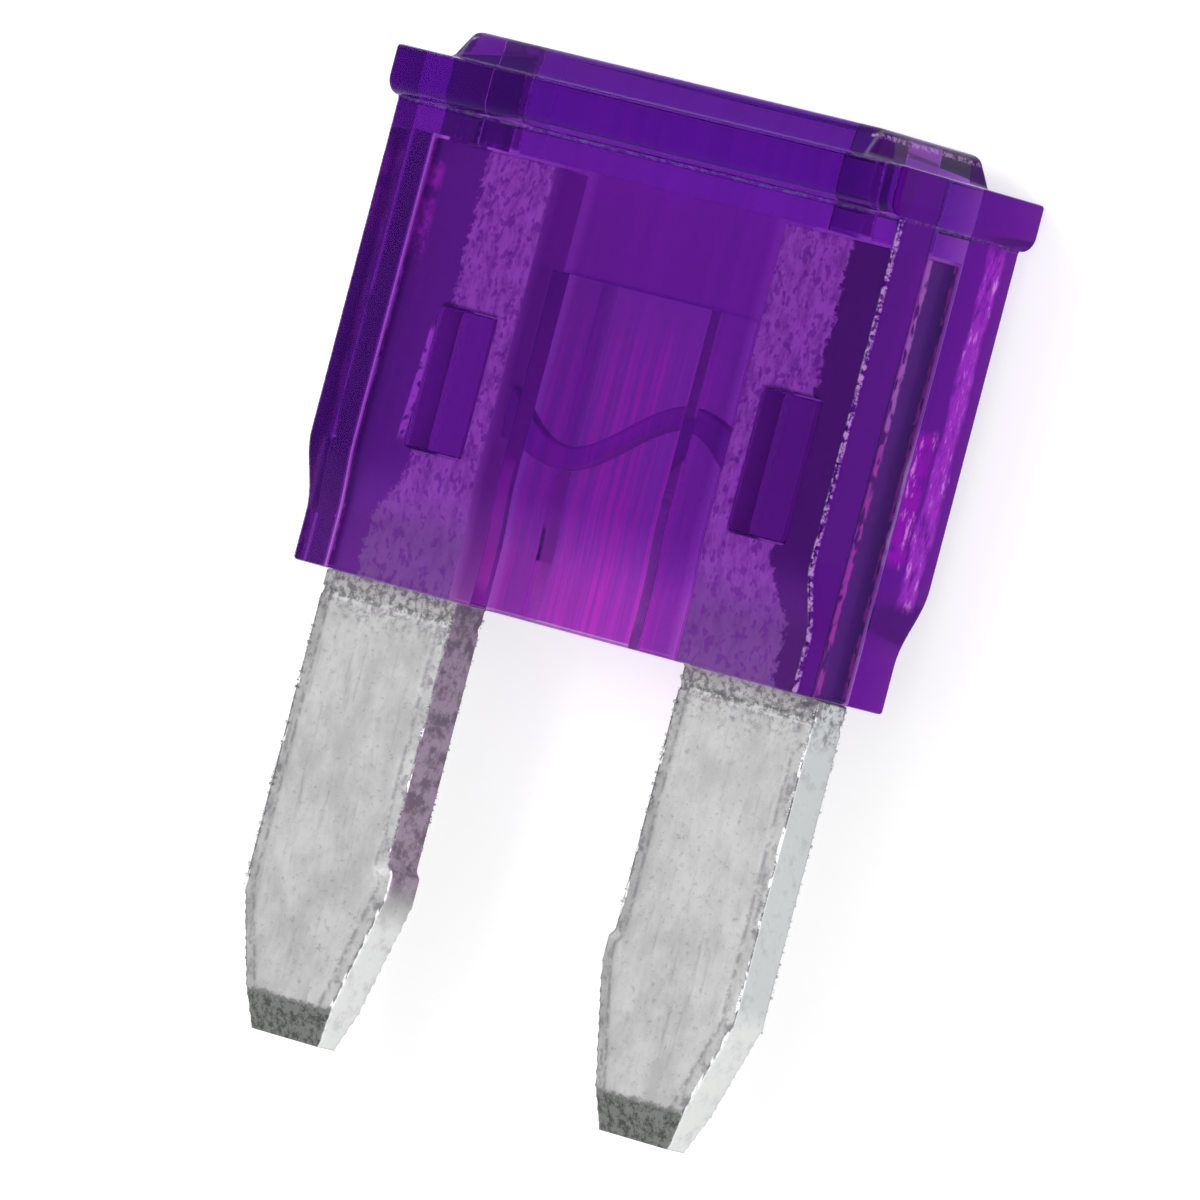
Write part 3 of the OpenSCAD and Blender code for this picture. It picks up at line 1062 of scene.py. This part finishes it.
def underPlastic(s, spec, x, wide, y, z, depth, sideways, base):
    ragged = s.swing(s.noise(*spec["raggedGrain"]), spec["sway"])
    inside = coveredStrips(s, spec, x, wide, y, ragged)
    glow = s.times(s.fade(wide, *spec["glowX"]),
                   s.fade(s.math("ADD", y, s.times(ragged, spec["glowSway"])), *spec["glowY"]))
    inside = s.mix(s.times(glow, s.grain(spec, "glow")), inside, spec["glowColour"])
    # a painted highlight along the blade's cut outer edge
    dots = s.grain(spec, "dot")
    cut = s.fade(s.math("ADD", wide, s.times(ragged, spec["cutSway"])), *spec["cutX"])
    cut = s.times(cut, dots, s.blend(s.grain(spec, "broken"), *spec["cutShare"]))
    inside = s.mix(cut, inside, spec["cutEdgeHighlight"])
    inside = s.mix(litMarks(s, spec, x, y), inside, spec["litColour"])
    # cut sides: the outer one has painted highlight dots along both corners
    cornerGlint = s.fade(s.math("ADD", depth, s.times(ragged, spec["cornerGlintSway"])), *spec["cornerGlintDepth"])
    white = s.times(s.fade(z, *spec["whiteZ"]), s.fade(y, *spec["whiteY"]))
    cornerGlintColour = s.mix(white, spec["glowColour"], spec["burrGlintColour"])
    outer = s.mix(s.times(cornerGlint, dots), spec["outerSideShading"], cornerGlintColour)
    # sideways faces take painted light and shade by facing
    side = s.mix(s.fadeAt(wide, spec["outerX"], spec["outerFade"]), spec["innerSideShading"], outer)
    inside = s.mix(s.fade(sideways, *spec["sideFacing"]), inside, side)
    inside = s.mix(s.fadeAt(wide, spec["linkX"], spec["linkFade"]), inside, spec["linkColour"])
    covered = s.fadeAt(y, spec["mouthY"], spec["mouthFade"])
    return s.mix(covered, base, inside), covered


def bladeBorder(s, spec, base, flat, speck, blot):
    border = s.attribute("rim")
    # the dark line and outline along the rolled border are painted dark reflection; the blotched part is
    # dirt
    line = s.times(s.band(border, *spec["borderLine"], spec["borderSoft"]), s.grain(spec, "line"))
    outline = s.times(s.fade(border, *spec["outlineFrom"]), s.fade(speck, *spec["outlineLevels"]))
    smudged = s.times(s.fade(border, *spec["smudgedFrom"]), s.fade(blot, *spec["smudgedLevels"]))
    rim = s.most(s.times(line, spec["lineShare"]), outline, s.times(smudged, spec["smudgedShare"]))
    base = s.mix(s.times(rim, flat), base, spec["darkReflectionAndDirt"])
    glint = s.times(s.fade(border, *spec["glintFrom"]), s.grain(spec, "glint"), flat)
    return s.mix(glint, base, spec["glint"])


def zincMaterial(spec):
    material, s = newMaterial("tinnedZinc")
    shader = s.node("ShaderNodeBsdfPrincipled")
    out = s.node("ShaderNodeOutputMaterial")
    s.wire(shader.outputs[0], out.inputs["Surface"])
    x, y, z, depth = s.axes()
    normalX, sideways, broad = s.facing()
    wide = s.math("ABSOLUTE", x)
    cloud, streak = s.noise(*spec["cloudGrain"]), s.noise(*spec["streakGrain"])
    speck, blot = s.noise(*spec["speckGrain"]), s.noise(*spec["blotGrain"])
    fine = s.fade(speck, *spec["fineLevels"])
    base = s.mix(s.fade(cloud, *spec["cloudLevels"]), spec["mid"], spec["bright"])
    base = s.mix(s.times(s.fade(streak, *spec["streakLevels"]), spec["streakShare"]), base, spec["dark"])
    base = s.mix(s.times(s.fade(speck, *spec["speckLevels"]), spec["speckShare"]), base, spec["dark"])
    # cut sides painted by facing: the outer one lighter as painted light, the inner one purple-grey in the
    # housing's colour as painted reflection and shade, and the taper's bright as painted light
    flat = s.fade(broad, *spec["facing"])
    outward = s.times(normalX, s.math("SIGN", x))
    mottle = s.times(s.fade(blot, *spec["outerLevels"]), spec["outerMottle"])
    outer = s.mix(mottle, spec["outerSideShading"], spec["mid"])
    base = s.mix(s.times(s.fade(outward, *spec["facing"]), spec["outerShare"]), base, outer)
    inner = s.mix(s.fade(blot, *spec["innerLevels"]), spec["innerSideShading"], spec["innerSideDarkShade"])
    low = s.fadeAt(y, spec["tipY"], spec["innerFade"])
    inward = s.fade(outward, *(-level for level in spec["facing"]))
    base = s.mix(s.times(inward, low, spec["innerShare"]), base, inner)
    taper = s.times(s.fade(sideways, *spec["facing"]), s.fadeAt(y, spec["tipY"], spec["taperFade"]))
    taper = s.times(taper, s.blend(s.fade(blot, *spec["taperLevels"]), *spec["taperShare"]))
    base = s.mix(taper, base, spec["taperSideLight"])
    base = bladeBorder(s, spec, base, flat, speck, blot)
    # the bevelled tip, the smudge below the mouth and the coined line
    tipEdge = s.math("ADD", y, s.swing(speck, spec["tipSway"]))
    tipTone = s.mix(s.fade(speck, *spec["tipLevels"]), spec["tipColour"], spec["tipDark"])
    base = s.mix(s.times(s.fadeAt(tipEdge, spec["tipTopY"], spec["tipFade"]), flat), base, tipTone)
    top = s.math("ADD", y, s.swing(blot, spec["smudgeSway"]))
    smudge = s.times(s.fadeAt(top, spec["mouthY"], spec["smudgeFade"]), fine, spec["smudgeShare"])
    base = s.mix(smudge, base, spec["darkReflectionAndDirt"])
    coin = s.bandAt(y, spec["coinY"], spec["coinLine"], spec["coinSoft"])
    base = s.mix(s.times(coin, fine, flat, spec["coinShare"]), base, spec["dark"])
    base, covered = underPlastic(s, coveredSpec, x, wide, y, z, depth, sideways, base)
    # the burrs are painted near-white as painted glints
    burr = s.attribute("burr")
    base = s.mix(s.times(burr, s.fade(speck, *spec["outlineLevels"])), base, spec["burrGlintColour"])
    s.feed(shader.inputs["Base Color"], base)
    s.feed(shader.inputs["Metallic"], s.blend(s.most(covered, burr), *spec["metallic"]))
    s.feed(shader.inputs["Roughness"], s.blend(cloud, *spec["roughness"]))
    height = s.math("ADD", s.times(streak, spec["bumpMix"][0]), s.times(speck, spec["bumpMix"][1]))
    s.feed(shader.inputs["Normal"], s.bump(height, *spec["bump"]))
    return material


zinc = zincMaterial(zincSpec)
print("zinc made")
element = makeElement()
print("element made:", len(element.data.polygons), "faces")


# Burrs that the stamping left along the blades' edges

burrSpec = {
    "Spacing": 0.05,
    "Least": 0.012,
    "Most": 0.034,
    "Jitter": 0.01,
    "Kept": 0.5,
}
burrSeed = 7


def burrPaths(spec):
    inset, aboveTaper, belowMouth = 0.02, 1.2, 0.1
    low, high = spec["tipY"] + spec["outerTaperL"], spec["mouthY"] - belowMouth
    lines = [
        (spec["outerX"] - inset, low, high),
        (spec["innerX"] + inset, low + aboveTaper, high),
    ]
    points, edges = [], []
    for side in (-1, 1):
        for sideZ in (-1, 1):
            for x, y0, y1 in lines:
                edges.append((len(points), len(points) + 1))
                points += [(side * x, y, sideZ * (spec["halfT"] - inset)) for y in (y0, y1)]
    return points, edges


def burrTree(sizes, material):
    group, g, inputs, finish = newGeometryTree("edgeBurrs", sizes, material)
    spaced = g.node("GeometryNodeCurveToPoints", mode="LENGTH")
    g.wire(g.step("GeometryNodeMeshToCurve", inputs["Geometry"]), spaced.inputs["Curve"])
    g.wire(g.math("MULTIPLY", inputs["Spacing"], mm), spaced.inputs["Length"])

    def random(kind, low, high, seed):
        made = g.node("FunctionNodeRandomValue", data_type=kind)
        slots = {"FLOAT": (2, 3), "FLOAT_VECTOR": (0, 1)}[kind]
        g.feed(made.inputs[slots[0]], low)
        g.feed(made.inputs[slots[1]], high)
        made.inputs["Seed"].default_value = burrSeed + seed
        return made.outputs[{"FLOAT": 1, "FLOAT_VECTOR": 0}[kind]]

    chance = random("FLOAT", 0.0, 1.0, 1)
    dropped = g.math("GREATER_THAN", chance, inputs["Kept"])
    thinned = g.step("GeometryNodeDeleteGeometry", spaced.outputs["Points"], Selection=dropped)
    shake = g.node("ShaderNodeVectorMath", operation="SCALE")
    g.wire(random("FLOAT_VECTOR", (-1, -1, -1), (1, 1, 1), 2), shake.inputs[0])
    g.wire(g.math("MULTIPLY", inputs["Jitter"], mm), shake.inputs["Scale"])
    moved = g.step("GeometryNodeSetPosition", thinned, Offset=shake.outputs[0])
    grain = g.node("GeometryNodeMeshIcoSphere")
    grain.inputs["Radius"].default_value = 1.0
    grain.inputs["Subdivisions"].default_value = 1
    turn = random("FLOAT_VECTOR", (0, 0, 0), (3, 3, 3), 3)
    share = g.math("POWER", random("FLOAT", 0.0, 1.0, 4), 3.0)
    span = g.math("SUBTRACT", inputs["Most"], inputs["Least"])
    size = g.math("MULTIPLY", g.math("ADD", inputs["Least"], g.math("MULTIPLY", share, span)), mm)
    finish(g.step("GeometryNodeInstanceOnPoints", moved,
                  Instance=grain.outputs["Mesh"], Rotation=turn, Scale=size))
    return group


def makeBurrs():
    points, edges = burrPaths(bladeSpec)
    piece = meshObject("edgeBurrs", points, [], edges=edges)
    grow(piece, burrTree(burrSpec, zinc), burrSpec)
    burr = piece.data.attributes.new("burr", "FLOAT", "POINT")
    burr.data.foreach_set("value", [1.0] * len(piece.data.vertices))
    piece.data.shade_smooth()
    return piece


burrs = makeBurrs()
print("burrs made:", len(burrs.data.polygons), "faces")


# Stage and light

stageSpec = {
    "floorHalf": 400.0,
    "floorZ": -0.01,
    "floorColour": (0.8, 0.8, 0.8, 1),
    "floorGlow": 0.62,
    "ambient": 0.42,
}


def seenRays(s):
    path = s.node("ShaderNodeLightPath").outputs
    total = s.math("ADD", path["Is Camera Ray"], path["Is Glossy Ray"], clamp=True)
    return s.math("ADD", total, path["Is Transmission Ray"], clamp=True)


def makeStage(spec):
    half, z = spec["floorHalf"], spec["floorZ"] - midZ
    floor = meshObject("floor", [(-half, -half, z), (half, -half, z), (half, half, z), (-half, half, z)],
                       [[0, 1, 2, 3]])
    material, s = newMaterial("whiteFloor")
    diffuse = s.node("ShaderNodeBsdfDiffuse")
    diffuse.inputs["Color"].default_value = spec["floorColour"]
    glow = s.node("ShaderNodeEmission")
    s.feed(glow.inputs["Strength"], s.times(seenRays(s), spec["floorGlow"]))
    total = s.node("ShaderNodeAddShader")
    s.wire(diffuse.outputs[0], total.inputs[0])
    s.wire(glow.outputs[0], total.inputs[1])
    s.wire(total.outputs[0], s.node("ShaderNodeOutputMaterial").inputs["Surface"])
    floor.data.materials.append(material)


def makeWorld(spec):
    world = bpy.data.worlds.new("studio")
    scene.world = world
    world.use_nodes = True
    s = Shader(world.node_tree)
    air = s.node("ShaderNodeBackground")
    air.inputs["Color"].default_value = (1, 1, 1, 1)
    s.feed(air.inputs["Strength"], s.blend(seenRays(s), spec["ambient"], 1.0))
    s.wire(air.outputs[0], s.node("ShaderNodeOutputWorld").inputs["Surface"])


lampSpecs = {
    "keyPanel": {"place": (-90, 60, 150), "size": (90, 140), "power": 0.11},
    "rimPanel": {"place": (140, -40, 60), "size": (40, 160), "power": 0.08},
}


def areaLight(name, spec):
    data = bpy.data.lights.new(name, "AREA")
    data.shape = "RECTANGLE"
    data.size, data.size_y = (side * mm for side in spec["size"])
    data.energy = spec["power"]
    light = bpy.data.objects.new(name, data)
    light.location = Vector(spec["place"]) * mm
    light.rotation_mode = "QUATERNION"
    light.rotation_quaternion = light.location.to_track_quat("Z", "Y")
    scene.collection.objects.link(light)


makeStage(stageSpec)
makeWorld(stageSpec)
for name, spec in lampSpecs.items():
    areaLight(name, spec)
print("stage and light made")

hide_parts("housing")
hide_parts("fuse_element")
for piece, slotName in ((housing, "violet_plastic"), (element, "tinned_zinc"), (burrs, "tinned_zinc")):
    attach(piece, "root")
